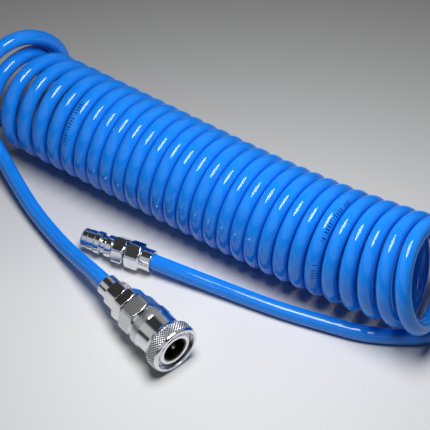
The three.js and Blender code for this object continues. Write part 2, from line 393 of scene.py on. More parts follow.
def hexagon_limit(flats, roll, start, end):
    """A limit for lathe(): a hexagon between two stations with its corners chamfered by a cone
    that starts inside the flats, so each flat ends in an arc."""
    face_radius = 0.475 * flats
    slope = 1 / math.tan(math.radians(30))

    def limit(station, angles):
        if station < start - SAME_PLACE or station > end + SAME_PLACE:
            return np.full(len(angles), np.inf)
        cone = face_radius + slope * min(station - start, end - station)
        return np.minimum(hexagon_radius(flats, roll, angles), cone)

    return limit


# ---- hose ----

def unit_rows(vectors):
    """The vectors, one in each row, scaled to length 1."""
    return vectors / np.linalg.norm(vectors, axis=1)[:, None]


def rows_across(vectors, tangents):
    """The part of each vector that is at right angles to its tangent, scaled to length 1."""
    return unit_rows(vectors - tangents * np.sum(tangents * vectors, axis=1)[:, None])


def transported_frames(points):
    """Tangents and a normal that turns with the tube without twisting."""
    tangents = unit_rows(np.gradient(points, axis=0))
    normal = np.cross(tangents[0], [0, 0, 1])
    normals = []
    for tangent in tangents:
        normal = normal - tangent * (normal @ tangent)
        normal /= np.linalg.norm(normal)
        normals.append(normal)
    return tangents, np.array(normals)


hose_tangents, hose_normals = transported_frames(line)

# A row of marks runs along the tube and turns slowly around it. It faces outward at this length
# along the hose, and again after each period.
MARKS_FACE_OUT = 950
MARKS_PERIOD = 1004

# A slight crease across the top of the plug's tail.
CREASE_STATION = 124
CREASE_WIDTH = 1.1
CREASE_DEPTH = 0.5


def at_length(table, length):
    """The rows of a table of the hose's line, read at those lengths."""
    return np.stack([np.interp(length, line_length, table[:, k]) for k in range(3)], axis=1)


def hose_frames(stations):
    """The middle of the hose and two directions across it, at those lengths."""
    centres = at_length(line, stations) + origin
    tangents = unit_rows(at_length(hose_tangents, stations))
    normals = rows_across(at_length(hose_normals, stations), tangents)
    return centres, normals, np.cross(tangents, normals)


def tube_faces(count):
    """The quads of a hollow tube with that many sections: its outside, its bore and its ends."""
    outer = grid_faces(count, TUBE_SIDES, False)
    shift = count * TUBE_SIDES
    inner = [tuple(shift + k for k in reversed(face)) for face in outer]
    caps = []
    last = shift - TUBE_SIDES
    for j in range(TUBE_SIDES):
        k = (j + 1) % TUBE_SIDES
        caps.append((k, j, shift + j, shift + k))
        caps.append((last + j, last + k, shift + last + k, shift + last + j))
    return outer + inner + caps


def marks_angle(stations, centres, normals, sides):
    """The angle of the row of marks around the hose, at those lengths."""
    outward = centres - origin - (0, 0, TUBE_RADIUS + COIL_RADIUS)
    outward_angle = np.arctan2(np.sum(outward * sides, axis=1), np.sum(outward * normals, axis=1))
    return outward_angle + TURN * (stations - MARKS_FACE_OUT) / MARKS_PERIOD


def hose_piece(name, start, end):
    """A stretch of the hose as a hollow tube, with its length and its section kept for the
    material. Returns the piece and the length along the hose at each of its points."""
    stations = np.linspace(start, end, round((end - start) / TUBE_STEP) + 1)
    centres, normals, sides = hose_frames(stations)
    angles = even_angles(TUBE_SIDES)
    out = normals[:, None, :] * np.cos(angles)[None, :, None]
    out = out + sides[:, None, :] * np.sin(angles)[None, :, None]
    dent = CREASE_DEPTH * np.exp(-((stations - CREASE_STATION) / CREASE_WIDTH) ** 2)
    outer_radius = TUBE_RADIUS - dent[:, None] * np.clip(out[:, :, 2], 0, 1)
    bore_radius = np.full_like(outer_radius, BORE_RADIUS)

    def rings(radius):
        return (centres[:, None, :] + radius[..., None] * out).reshape(-1, 3)

    points = np.vstack([rings(outer_radius), rings(bore_radius)]) * MM
    piece = new_mesh(name, points, tube_faces(len(stations)))
    piece.data.set_sharp_from_angle(angle=math.radians(50))
    lengths = np.tile(np.repeat(stations, TUBE_SIDES), 2)
    row_angle = marks_angle(stations, centres, normals, sides)
    around = np.tile((angles[None, :] - row_angle[:, None]).ravel(), 2)
    section = np.stack([lengths, np.cos(around), np.sin(around)], axis=1)
    point_attribute(piece, "along_hose", section)
    return piece, lengths


def set_blend(piece, body_a, body_b, weights):
    """Blends a piece between two bodies by a weight at each of its points, from 0 for the first
    body to 1 for the second. Weights that follow the hose's length keep its sections round."""
    low, high = Vector(piece.bound_box[0]), Vector(piece.bound_box[6])
    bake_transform(piece, body_a, body_b, start=low, end=high)
    attribute = piece.data.attributes["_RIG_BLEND"]
    attribute.data.foreach_set("value", np.asarray(weights, np.float32))


def bend_weights(lengths, pivot, fitting_mouth):
    """0 at the pivot and 1 where the tube is held in its nut, easing in so that it bends
    evenly."""
    t = np.clip((lengths - pivot) / (fitting_mouth - pivot), 0, 1)
    return 1 - (1 - t) ** 3


def stretch_weights(lengths, held_end, moving_end):
    """0 at the held end and 1 at the moving end, with even turns between them."""
    t = np.clip((lengths - held_end) / (moving_end - held_end), 0, 1)
    ease = 0.03
    ramp = np.where(t < ease, t * t / (2 * ease), t - ease / 2)
    ramp = np.where(t > 1 - ease, 1 - ease - (1 - t) ** 2 / (2 * ease), ramp)
    return ramp / (1 - ease)


# ---- materials ----

class Nodes:
    """A short way to write a node tree."""

    def __init__(self, tree):
        self.tree = tree

    def value(self, target, source):
        """Links a socket to an input, or sets the input to a plain value."""
        if isinstance(source, bpy.types.NodeSocket):
            self.tree.links.new(source, target)
        else:
            target.default_value = source

    def add(self, kind, output=0, settings=None, **inputs):
        """Adds a node and returns one of its outputs. An input is given by its name, or as i0,
        i1 and so on by its number."""
        node = self.tree.nodes.new("ShaderNode" + kind)
        for key, setting in (settings or {}).items():
            setattr(node, key, setting)
        for key, source in inputs.items():
            index = int(key[1:]) if key[0] == "i" and key[1:].isdigit() else key.replace("_", " ")
            self.value(node.inputs[index], source)
        return node.outputs[output]

    def math(self, operation, a, b=0.0, clamp=False):
        return self.add("Math", settings={"operation": operation, "use_clamp": clamp}, i0=a, i1=b)

    def vector(self, operation, a, b):
        return self.add("VectorMath", settings={"operation": operation}, i0=a, i1=b)

    def mix(self, factor, a, b):
        """Mixes colours. For those, the node uses its inputs 6 and 7 and its output 2."""
        return self.add("Mix", 2, {"data_type": "RGBA"}, i0=factor, i6=a, i7=b)

    def remap(self, source, low, high, to_low, to_high):
        return self.add("MapRange", i0=source, i1=low, i2=high, i3=to_low, i4=to_high)

    def attribute(self, name):
        return self.add("Attribute", "Vector", {"attribute_name": name})

    def noise(self, coordinates, scale, detail=2.0, roughness=0.5):
        return self.add(
            "TexNoise", Vector=coordinates, Scale=scale, Detail=detail, Roughness=roughness
        )

    def bump(self, height, strength, distance, normal=None):
        inputs = {"Height": height, "Strength": strength, "Distance": distance}
        if normal is not None:
            inputs["Normal"] = normal
        return self.add("Bump", **inputs)

    def separated(self, vector):
        """The three parts of a vector."""
        return self.add("SeparateXYZ", i0=vector).node.outputs


class MaterialNodes(Nodes):
    """The node tree of a new material."""

    def __init__(self, name):
        self.material = bpy.data.materials.new(name)
        self.material.use_nodes = True
        super().__init__(self.material.node_tree)
        self.shader = self.tree.nodes["Principled BSDF"]

    def shade(self, **inputs):
        for key, source in inputs.items():
            self.value(self.shader.inputs[key.replace("_", " ")], source)
        return self.material


# The marks come in runs that repeat along the hose. A run is made of groups, a group of clusters
# with gaps between them, and a cluster of bars. Their height is the sine of the angle from the
# middle of the row to its edge.
FIRST_RUN = 760
RUN_PITCH, RUN_LENGTH = 3012, 400
GROUP_PITCH, GROUP_LENGTH = 34, 23
CLUSTER_PITCH, CLUSTER_GAP = 7.7, 1.5
BAR_PITCH, BAR_WIDTH = 1.4, 0.56
MARKS_HALF_HEIGHT = 0.27


def hose_marks(n, place, wear):
    """1 on the plain bars of the marks and 0 elsewhere, a little uneven where they are worn."""
    length, facing, across = n.separated(place)
    bar = n.math("LESS_THAN", n.math("PINGPONG", length, BAR_PITCH / 2), BAR_WIDTH / 2)
    group = n.math("LESS_THAN", n.math("MODULO", length, GROUP_PITCH), GROUP_LENGTH)
    along_run = n.math("MODULO", n.math("SUBTRACT", length, FIRST_RUN), RUN_PITCH)
    run = n.math("LESS_THAN", along_run, RUN_LENGTH)
    past_tail = n.math("GREATER_THAN", length, FIRST_RUN)
    group = n.math("MULTIPLY", group, n.math("MULTIPLY", run, past_tail))
    cluster = n.math("GREATER_THAN", n.math("MODULO", length, CLUSTER_PITCH), CLUSTER_GAP)
    row = n.math("LESS_THAN", n.math("ABSOLUTE", across), MARKS_HALF_HEIGHT)
    front = n.math("GREATER_THAN", facing, 0.5)
    marks = n.math("MULTIPLY", n.math("MULTIPLY", bar, group), n.math("MULTIPLY", row, front))
    ink = n.remap(wear, 0.3, 0.5, 0.75, 1.0)
    return n.math("MULTIPLY", marks, n.math("MULTIPLY", cluster, ink))


def blue_polyurethane():
    """Glossy, slightly cloudy tube with faint die lines along it, marks, and painted deeper-blue shade
    where the turns meet. Its place on the hose is (length, cosine, sine of the angle from the row of
    marks)."""
    n = MaterialNodes("blue_polyurethane")
    place = n.attribute("along_hose")
    stretched = n.vector("MULTIPLY", place, (0.02, 1.0, 1.0))
    die_lines = n.noise(stretched, 9.0, 3.0)
    cloud = n.noise(n.vector("MULTIPLY", place, (0.12, 1.0, 1.0)), 1.3, 4.0)
    pores = n.noise(n.vector("MULTIPLY", place, (1.0, 4.0, 4.0)), 2.6, 2.0)
    colour = n.mix(cloud, (0.005, 0.195, 0.80, 1), (0.012, 0.275, 0.93, 1))
    # Painted shade: the colour turns a deeper blue where ambient occlusion finds turns close together.
    crevice = n.add("AmbientOcclusion", "AO", {"samples": 6}, Distance=0.0022)
    colour = n.mix(n.remap(crevice, 0.5, 0.2, 0.0, 0.6), colour, (0.0005, 0.045, 0.55, 1))
    colour = n.mix(hose_marks(n, place, pores), colour, (0.002, 0.012, 0.09, 1))
    roughness = n.remap(cloud, 0.3, 0.7, 0.05, 0.09)
    normal = n.bump(die_lines, 0.008, 0.0003)
    normal = n.bump(pores, 0.002, 0.0002, normal)
    return n.shade(
        Base_Color=colour, Roughness=roughness, IOR=1.45, Normal=normal,
        Specular_IOR_Level=0.5, Subsurface_Weight=0.12, Subsurface_Radius=(0.2, 0.5, 1.0),
        Subsurface_Scale=0.0015,
    )


# The knurled band of the sleeve: its stations, the diamonds around it, the half diamonds along it
# and how deep its hollows are. Nothing inside the inner radius is knurled.
KNURL_START = 48
KNURL_END = 53.5
KNURL_TEETH = 50
KNURL_ROWS = 8
KNURL_DEPTH = 0.35
KNURL_INNER_RADIUS = 12.4

# The waves of the fine hatching, in radians for each millimetre, and Y and Z of the direction
# along a flat of the socket's hexagons.
HATCHING = 4.6
ALONG_FLAT = (0.97, 0.26)


def squared_radius(n, y, z):
    """The square of the distance from a fitting's axis."""
    return n.math("ADD", n.math("MULTIPLY", y, y), n.math("MULTIPLY", z, z))


def within(n, station, start, end):
    """1 between two stations and 0 elsewhere."""
    return n.math(
        "MULTIPLY", n.math("GREATER_THAN", station, start), n.math("LESS_THAN", station, end)
    )


def hatched(n, place, colour, rough, normal, start, end):
    """Fine crossing lines on a duller ground, between two stations."""
    station, y, z = n.separated(place)
    across = n.math(
        "ADD", n.math("MULTIPLY", y, ALONG_FLAT[0]), n.math("MULTIPLY", z, ALONG_FLAT[1])
    )
    rising = n.math("SINE", n.math("MULTIPLY", n.math("ADD", station, across), HATCHING))
    falling = n.math("SINE", n.math("MULTIPLY", n.math("SUBTRACT", station, across), HATCHING))
    inside = within(n, station, start, end)
    lines = n.math("MULTIPLY", n.math("MULTIPLY", rising, falling), inside)
    normal = n.bump(lines, 0.2, 0.00008, normal)
    colour = n.mix(n.math("MULTIPLY", inside, 0.55), colour, (0.30, 0.31, 0.32, 1))
    colour = n.mix(n.math("MULTIPLY", lines, 1.0, True), colour, (0.97, 0.97, 0.98, 1))
    rough = n.math("MAXIMUM", rough, n.math("MULTIPLY", inside, 0.27))
    return colour, rough, normal


def knurled(n, place, colour, rough):
    """Grooves between the knurl's diamonds painted dark as shade, which match the mesh of lock_sleeve()."""
    station, y, z = n.separated(place)
    turned = n.math("MULTIPLY", n.math("ARCTAN2", z, y), KNURL_TEETH / 2)
    rows = KNURL_ROWS / (KNURL_END - KNURL_START) * math.pi / 2
    stepped = n.math("MULTIPLY", n.math("SUBTRACT", station, KNURL_START), rows)
    one = n.math("ABSOLUTE", n.math("SINE", n.math("ADD", turned, stepped)))
    other = n.math("ABSOLUTE", n.math("SINE", n.math("SUBTRACT", turned, stepped)))
    height = n.math("MINIMUM", one, other)
    radius = n.math("SQRT", squared_radius(n, y, z))
    band = within(n, station, KNURL_START, KNURL_END)
    band = n.math("MULTIPLY", band, n.math("GREATER_THAN", radius, KNURL_INNER_RADIUS))
    # Painted shade: the hollows between the diamonds are coloured dark.
    groove = n.math("MULTIPLY", band, n.remap(height, 0.62, 0.3, 0.0, 1.0))
    colour = n.mix(groove, colour, (0.05, 0.052, 0.058, 1))
    return colour, n.math("MAXIMUM", rough, n.math("MULTIPLY", band, 0.42))


def darkened_bore(n, place, colour, rough, radius):
    """A bore coloured darker and duller inside that radius."""
    station, y, z = n.separated(place)
    # The bore's wall is coloured dark and dull.
    inside = n.math("LESS_THAN", squared_radius(n, y, z), radius ** 2)
    colour = n.mix(inside, colour, (0.10, 0.085, 0.07, 1))
    return colour, n.math("MAXIMUM", rough, n.math("MULTIPLY", inside, 0.25))


def chrome(
    name="bright_chrome", tint=(0.80, 0.81, 0.83), base_roughness=0.06, crevice_shade=0.35,
    hatched_stretch=None, with_knurl=False, dark_bore_radius=None,
):
    """Plated metal with turning marks, fine scratches, and painted shade where parts meet."""
    n = MaterialNodes(name)
    place = n.attribute("local_mm")
    marks = n.noise(n.vector("MULTIPLY", place, (14.0, 0.15, 0.15)), 1.0, 3.0)
    blotches = n.noise(place, 0.35, 4.0)
    scratches = n.noise(n.vector("MULTIPLY", place, (0.7, 9.0, 9.0)), 1.6, 4.0)
    pits = n.noise(place, 6.0, 2.0)
    crevice = n.add("AmbientOcclusion", "AO", {"samples": 6}, Distance=0.0012)
    # Painted shade: the colour darkens where ambient occlusion finds parts close together.
    crevice_shade_mix = n.remap(crevice, 0.75, 0.25, 0.0, crevice_shade)
    light = (*tint, 1)
    dark = (tint[0] * 0.30, tint[1] * 0.29, tint[2] * 0.28, 1)
    blotched = n.mix(n.remap(blotches, 0.3, 0.7, 0.0, 0.12), light, dark)
    colour = n.mix(crevice_shade_mix, blotched, dark)
    rough = n.remap(scratches, 0.35, 0.75, base_roughness, base_roughness + 0.09)
    normal = n.bump(marks, 0.05, 0.0002)
    normal = n.bump(scratches, 0.05, 0.0001, normal)
    normal = n.bump(pits, 0.03, 0.0001, normal)
    if hatched_stretch:
        colour, rough, normal = hatched(n, place, colour, rough, normal, *hatched_stretch)
    if with_knurl:
        colour, rough = knurled(n, place, colour, rough)
    if dark_bore_radius:
        colour, rough = darkened_bore(n, place, colour, rough, dark_bore_radius)
    return n.shade(Base_Color=colour, Metallic=1.0, Roughness=rough, Normal=normal)


def black_rubber():
    """Moulded nitrile with a fine matt grain."""
    n = MaterialNodes("black_rubber")
    place = n.attribute("local_mm")
    grain = n.noise(place, 9.0, 3.0)
    bloom = n.noise(place, 0.8, 3.0)
    colour = n.mix(bloom, (0.010, 0.010, 0.011, 1), (0.028, 0.028, 0.030, 1))
    rough = n.remap(grain, 0.3, 0.7, 0.5, 0.75)
    return n.shade(Base_Color=colour, Roughness=rough, Normal=n.bump(grain, 0.3, 0.0001))


# The level direction away from the camera, in X and Y.
AWAY = (-0.565, 0.825)


def pale_floor():
    """Matt studio board, painted darker towards the back as the key light's falloff."""
    n = MaterialNodes("pale_floor")
    place = n.add("TexCoord", "Object")
    grain = n.noise(place, 900.0, 3.0)
    patches = n.noise(place, 3.0, 2.0)
    x, y, z = n.separated(place)
    depth = n.math("ADD", n.math("MULTIPLY", x, AWAY[0]), n.math("MULTIPLY", y, AWAY[1]))
    near = n.mix(patches, (0.745, 0.745, 0.75, 1), (0.775, 0.775, 0.78, 1))
    # Painted light falloff: the board darkens with distance from the camera.
    colour = n.mix(n.remap(depth, -0.02, 0.24, 0.0, 1.0), near, (0.345, 0.345, 0.335, 1))
    rough = n.remap(patches, 0.3, 0.7, 0.5, 0.6)
    return n.shade(
        Base_Color=colour, Roughness=rough, Specular_IOR_Level=0.3,
        Normal=n.bump(grain, 0.04, 0.0002),
    )


BLUE = blue_polyurethane()
CHROME = chrome()
HATCHED_HEX = chrome("hatched_hexagon", hatched_stretch=(21.9, 30), dark_bore_radius=6.95)
BANDED_SLEEVE = chrome("banded_sleeve", hatched_stretch=(33.2, 37.4), with_knurl=True)
STEEL = chrome("polished_steel", tint=(0.62, 0.63, 0.65), base_roughness=0.14, crevice_shade=0.5)
BRASS = chrome("turned_brass", tint=(0.78, 0.56, 0.26), base_roughness=0.16, crevice_shade=0.45)
RUBBER = black_rubber()


# ---- fittings ----

ROUND = even_angles(96)

# How far each hexagon is turned from having a flat straight up, in degrees.
PLUG_NUT_ROLL = -27
PLUG_BODY_ROLL = -15
SOCKET_ROLL = 15

# Sizes across flats.
NUT_FLATS = 13
ADAPTER_FLATS = 17
SOCKET_BODY_FLATS = 19

# The studs under the nuts.
STUD_RADIUS = 5.3
THREAD_DEPTH = 0.5
THREAD_PITCH = 1.0
THREAD_STEP = 0.1


def nut(name, fitting, body, node, roll):
    """The clamping nut: a plain skirt, then a hexagon, bored for the hose and the stud."""
    outline = rounded([
        (0, 4.35), (0, 5.35), (0.35, 5.7), (5.75, 5.7), (6.2, 6.1), (6.2, 9), (14, 9),
        (14, 5.62), (7.2, 5.62), (6, 4.35),
    ], 0.18)
    outline = densified(outline, 6.2, 14, 0.16)
    limit = hexagon_limit(NUT_FLATS, roll, 6.2, 14)
    piece = keep_edges_crisp(lathe(name, fitting, outline, hexagon_angles(roll), limit))
    return finished(piece, body, "chrome", CHROME, node)


def thread_limit(start, end):
    """A limit for lathe(): a single-start thread cut into a stud."""
    def limit(station, angles):
        if station < start or station > end:
            return np.full(len(angles), np.inf)
        phase = (station / THREAD_PITCH - angles / TURN) % 1
        return STUD_RADIUS - THREAD_DEPTH * np.abs(2 * phase - 1)

    return limit


def both(first, second):
    """The closer of two limits."""
    return lambda station, angles: np.minimum(first(station, angles), second(station, angles))


def plug_body():
    """Barb, threaded stud, hexagon, collar, ball groove and the stepped nose."""
    outline = rounded([
        (2, 1.2), (2, 1.5), (3, 1.75), (9.6, 1.75), (9.6, STUD_RADIUS), (14.8, STUD_RADIUS),
        (14.8, 9), (21.3, 9), (21.3, 5.2), (21.8, 5.2), (22.2, 5.8), (25.4, 5.8), (26, 4.6),
        (28, 4.6), (28.8, 5.9), (31.6, 5.9), (32.2, 5.3), (36, 5.3), (36.3, 5.1), (38.9, 5.1),
        (39.6, 4.6), (39.6, 3.3), (39.3, 3), (17, 3), (14, 1.2),
    ], 0.2)
    outline = densified(outline, 9.6, 14.8, THREAD_STEP)
    outline = densified(outline, 14.8, 21.3, 0.16)
    hexagon = hexagon_limit(NUT_FLATS, PLUG_BODY_ROLL, 14.8, 21.3)
    limit = both(thread_limit(9.9, 14.7), hexagon)
    angles = hexagon_angles(PLUG_BODY_ROLL)
    piece = keep_edges_crisp(lathe("plug_body_finished", plug, outline, angles, limit))
    return finished(piece, "plug", "chrome", CHROME, "plug_body")


def socket_adapter():
    """Barb, threaded stud, the middle hexagon and the spigot inside the body."""
    outline = rounded([
        (2, 1.2), (2, 1.5), (3, 1.75), (9.6, 1.75), (9.6, STUD_RADIUS), (14.7, STUD_RADIUS),
        (14.7, 12), (20.8, 12), (20.8, 7.4), (30.4, 7.4), (30.4, 6.4), (19, 6.4), (19, 3),
        (17, 1.2),
    ], 0.2)
    outline = densified(outline, 9.6, 14.7, THREAD_STEP)
    outline = densified(outline, 14.7, 20.8, 0.18)
    hexagon = hexagon_limit(ADAPTER_FLATS, SOCKET_ROLL, 14.7, 20.8)
    limit = both(thread_limit(9.9, 14.6), hexagon)
    piece = lathe("socket_adapter_finished", socket, outline, hexagon_angles(SOCKET_ROLL), limit)
    return finished(keep_edges_crisp(piece), "socket", "chrome", CHROME, "socket_adapter")


BALL_COUNT = 6
BALL_RADIUS = 2.1
BALL_CIRCLE_RADIUS = 6.95
BALL_STATION = 47.4
BALL_HOLE_RADIUS = 2.28

# The drills reach from inside the body's bore to outside its wall.
DRILL_START, DRILL_END = 5, 11
DRILL_SIDES = 40


def cut_ball_holes(piece):
    """Drills the ring of ball holes through the body's wall, and works out its places again,
    because the cut loses them."""
    drills = []
    for i in range(BALL_COUNT):
        angle = i * TURN / BALL_COUNT
        around = even_angles(DRILL_SIDES)
        stations = BALL_STATION + BALL_HOLE_RADIUS * np.cos(around)
        across = BALL_HOLE_RADIUS * np.sin(around)
        rings = []
        for radius in (DRILL_START, DRILL_END):
            y = radius * math.cos(angle) - across * math.sin(angle)
            z = radius * math.sin(angle) + across * math.cos(angle)
            rings.append(np.stack([stations, y, z], axis=1))
        points = socket.place(np.vstack(rings))
        faces = grid_faces(2, DRILL_SIDES, False) + end_faces(2, DRILL_SIDES)
        drills.append(new_mesh(f"ball_drill_{i}", points, faces))
    for drill in drills:
        drill.data.flip_normals()
        cut = piece.modifiers.new(drill.name, "BOOLEAN")
        cut.object = drill
        cut.operation = "DIFFERENCE"
        cut.solver = "EXACT"
    bpy.context.view_layer.update()
    evaluated = piece.evaluated_get(bpy.context.evaluated_depsgraph_get())
    result = bpy.data.meshes.new_from_object(evaluated)
    piece.modifiers.clear()
    piece.data = result
    points = np.empty(3 * len(result.vertices))
    result.vertices.foreach_get("co", points)
    if "local_mm" in result.attributes:
        result.attributes.remove(result.attributes["local_mm"])
    point_attribute(piece, "local_mm", socket.local(points.reshape(-1, 3)))
    for drill in drills:
        bpy.data.objects.remove(drill)


def socket_body():
    """The large hexagon and the tube under the sleeve, with its seat, seal groove, ball holes
    and bright front ring."""
    outline = rounded([
        (21.4, 7.7), (21.4, 12), (30.5, 12), (30.5, 9.9), (32.4, 9.9), (32.4, 9), (50.8, 9),
        (50.8, 8.3), (51.9, 8.3), (51.9, 9), (53.2, 9), (53.7, 8.6), (53.7, 7), (53.3, 6.3),
        (42.8, 6.3), (42, 5.4), (40.3, 5.4), (40.3, 6.9), (38.1, 6.9), (38.1, 5.4),
        (35.6, 5.4), (35.6, 4.4), (34, 4.4), (34, 6.6), (30.7, 6.6), (30.7, 7.7),
    ], 0.12)
    outline = densified(outline, 21.4, 30.5, 0.18)
    limit = hexagon_limit(SOCKET_BODY_FLATS, SOCKET_ROLL, 21.4, 30.5)
    piece = lathe("socket_body_finished", socket, outline, hexagon_angles(SOCKET_ROLL), limit)
    cut_ball_holes(piece)
    return finished(keep_edges_crisp(piece), "socket", "chrome", HATCHED_HEX, "socket_body")


SLEEVE_RADIUS = 13.3


def sleeve_outline():
    """The sleeve's outline, and the number of the point where its knurl starts."""
    rear = rounded([
        (42.4, 10.2), (32.8, 10.2), (32.8, 11.2), (33.1, 11.5), (37.5, 11.5), (37.9, 11.2),
        (45.3, 11.2), (46.5, 11.8), (47.6, 12.8), (KNURL_START, 13.05),
    ], 0.25, closed=False)[1:]
    front = rounded([
        (KNURL_END, 13.05), (54.1, 12.9), (54.6, 12.4), (54.7, 12), (54.7, 11.2), (54.5, 11),
        (50.9, 11), (50.9, 10.4), (49.6, 10.4), (47.2, 9.2), (42.4, 9.2), (42.4, 10.2),
    ], 0.2, closed=False)
    stations = np.linspace(KNURL_START, KNURL_END, KNURL_ROWS + 1)[1:-1]
    return rear + [(station, SLEEVE_RADIUS) for station in stations] + front, len(rear) - 1


def lock_sleeve():
    """The sliding sleeve: a rear band, a smooth barrel, a flare, a diamond-knurled band and a
    round rim. The knurl's peaks and hollows are points of one grid, and its quads are split
    along the grooves."""
    outline, first = sleeve_outline()
    angles = even_angles(2 * KNURL_TEETH)
    columns = len(angles)
    rings = []
    for i, (station, radius) in enumerate(outline):
        radii = np.full(columns, float(radius))
        row = i - first
        if 0 < row < KNURL_ROWS:
            hollow = (np.arange(columns) + row) % 2 == 0
            radii[hollow] -= KNURL_DEPTH
        rings.append(ring_points(station, radii, angles))
    faces = []
    facets = []
    for i, quad in enumerate(grid_faces(len(rings), columns, True)):
        row = i // columns - first
        if not 0 <= row < KNURL_ROWS:
            faces.append(quad)
            continue
        facets += [len(faces), len(faces) + 1]
        a, b, c, d = quad
        if (i % columns + row) % 2 == 0:
            faces += [(a, b, c), (a, c, d)]
        else:
            faces += [(a, b, d), (b, c, d)]
    piece = fitting_mesh("lock_sleeve_finished", socket, np.vstack(rings), faces)
    piece.data.set_sharp_from_angle(angle=math.radians(40))
    for index in facets:
        piece.data.polygons[index].use_smooth = False
    return finished(piece, "sleeve", "chrome", BANDED_SLEEVE, "lock_sleeve")


def snap_ring():
    """The open wire ring, square in section with soft edges and two plain ends."""
    half_gap = math.radians(10)
    turns = np.linspace(half_gap, TURN - half_gap, 90)
    section = rounded([(51, 8.5), (51, 10.8), (51.7, 10.8), (51.7, 8.5)], 0.12)
    local = []
    for angle in turns:
        for station, radius in section:
            local.append((station, radius * math.sin(angle), radius * math.cos(angle)))
    columns = len(section)
    faces = grid_faces(len(turns), columns, False) + end_faces(len(turns), columns)
    piece = fitting_mesh("snap_ring_finished", socket, local, faces)
    return finished(keep_edges_crisp(piece), "socket", "spring_steel", STEEL, "snap_ring")


def ring(name, body, node, start, end, inner, outer, edge):
    """A rubber ring between two stations and two radii, with that much rounding."""
    outline = rounded([(start, inner), (start, outer), (end, outer), (end, inner)], edge, 4)
    piece = keep_edges_crisp(lathe(name, socket, outline, ROUND))
    return finished(piece, body, "rubber", RUBBER, node)


STEM_RADIUS = 3.9
PORT_START = 34.5
PORT_END = 37.5
PORT_WIDTH = 2.4
PORT_FLOOR_RADIUS = 2.75


def valve():
    """The poppet's disc and its hollow stem, which the plug's nose pushes. The stem's ports are
    dents that leave a thin wall."""
    outline = rounded([
        (31.2, 0.6), (31.2, 5.7), (32.8, 5.7), (32.8, STEM_RADIUS), (39, STEM_RADIUS), (39, 2.7),
        (34, 2.7), (34, 0.6),
    ], 0.12)
    outline = densified(outline, 32.8, 39, 0.3)
    angles = even_angles(120)

    def port_limit(station, angle):
        if not PORT_START < station < PORT_END:
            return np.full(len(angle), np.inf)
        from_port = (angle - TURN / 4 + SIXTH / 2) % SIXTH - SIXTH / 2
        in_port = np.abs(from_port) * STEM_RADIUS < PORT_WIDTH / 2
        return np.where(in_port, PORT_FLOOR_RADIUS, np.inf)

    piece = keep_edges_crisp(lathe("valve_poppet_finished", socket, outline, angles, port_limit))
    return finished(piece, "valve", "brass", BRASS, "valve_poppet")


POINTS_PER_SPRING_TURN = 40
WIRE_SIDES = 10


def spring(name, node, radius, wire, start, end, turns, held_by, pushes):
    """A wire spring between two seats, which closes up as they come together. wire is the wire's
    radius."""
    count = turns * POINTS_PER_SPRING_TURN
    t = np.linspace(0, 1, count + 1)
    angle = TURN * turns * t
    station = start + wire + (end - start - 2 * wire) * t
    centres = np.stack([station, radius * np.cos(angle), radius * np.sin(angle)], axis=1)
    tangents = unit_rows(np.gradient(centres, axis=0))
    outward = rows_across(centres * (0, 1 / radius, 1 / radius), tangents)
    across = np.cross(tangents, outward)
    section = even_angles(WIRE_SIDES)
    local = centres[:, None, :] + wire * (
        outward[:, None, :] * np.cos(section)[None, :, None]
        + across[:, None, :] * np.sin(section)[None, :, None]
    )
    local = local.reshape(-1, 3)
    faces = grid_faces(count + 1, WIRE_SIDES, False) + end_faces(count + 1, WIRE_SIDES)
    piece = fitting_mesh(name, socket, local, faces)
    finished(piece, None, "spring_steel", STEEL, node)
    set_blend(piece, held_by, pushes, np.clip((local[:, 0] - start) / (end - start), 0, 1))


def lock_ball(number):
    """A ball with its poles along the socket's axis."""
    angle = (number - 1) * TURN / BALL_COUNT
    centre = np.array([
        BALL_STATION, BALL_CIRCLE_RADIUS * math.cos(angle), BALL_CIRCLE_RADIUS * math.sin(angle),
    ])
    rows, columns = 18, 36
    local = [centre - (BALL_RADIUS, 0, 0)]
    for i in range(1, rows):
        slope = math.pi * i / rows
        for turn in even_angles(columns):
            out = BALL_RADIUS * math.sin(slope)
            local.append(centre + (
                -BALL_RADIUS * math.cos(slope), out * math.cos(turn), out * math.sin(turn),
            ))
    local.append(centre + (BALL_RADIUS, 0, 0))
    faces = []
    for j in range(columns):
        k = (j + 1) % columns
        faces.append((0, 1 + k, 1 + j))
        last = 1 + (rows - 2) * columns
        faces.append((last + j, last + k, len(local) - 1))
        for i in range(rows - 2):
            a = 1 + i * columns
            faces.append((a + j, a + k, a + columns + k, a + columns + j))
    piece = fitting_mesh(f"lock_ball_{number}_finished", socket, local, faces)
    return finished(piece, f"ball_{number}", "spring_steel", STEEL, f"lock_ball_{number}")


# ---- assembly ----

# The tube stays straight over this length outside each nut.
HELD_BEYOND_NUT = 2

tail, tail_lengths = hose_piece("hose_plug_tail_finished", 0, PLUG_TAIL_END)
finished(tail, None, "hose_blue", BLUE, "hose_plug_tail")
mouth = TUBE_DEPTH_IN_NUT + HELD_BEYOND_NUT
set_blend(tail, "coil_end", "plug", bend_weights(tail_lengths, PLUG_TAIL_END, mouth))

socket_tail_start = HOSE_LENGTH - SOCKET_TAIL_LENGTH
coil, coil_lengths = hose_piece("hose_coil_finished", PLUG_TAIL_END, socket_tail_start)
finished(coil, None, "hose_blue", BLUE, "hose_coil", "hose_plug_root")
set_blend(coil, "coil", "coil_end", stretch_weights(coil_lengths, socket_tail_start, PLUG_ROOT_END))

tail, tail_lengths = hose_piece("hose_socket_tail_finished", socket_tail_start, HOSE_LENGTH)
finished(tail, None, "hose_blue", BLUE, "hose_socket_tail")
mouth = HOSE_LENGTH - TUBE_DEPTH_IN_NUT - HELD_BEYOND_NUT
set_blend(tail, "coil", "socket", bend_weights(tail_lengths, socket_tail_start, mouth))

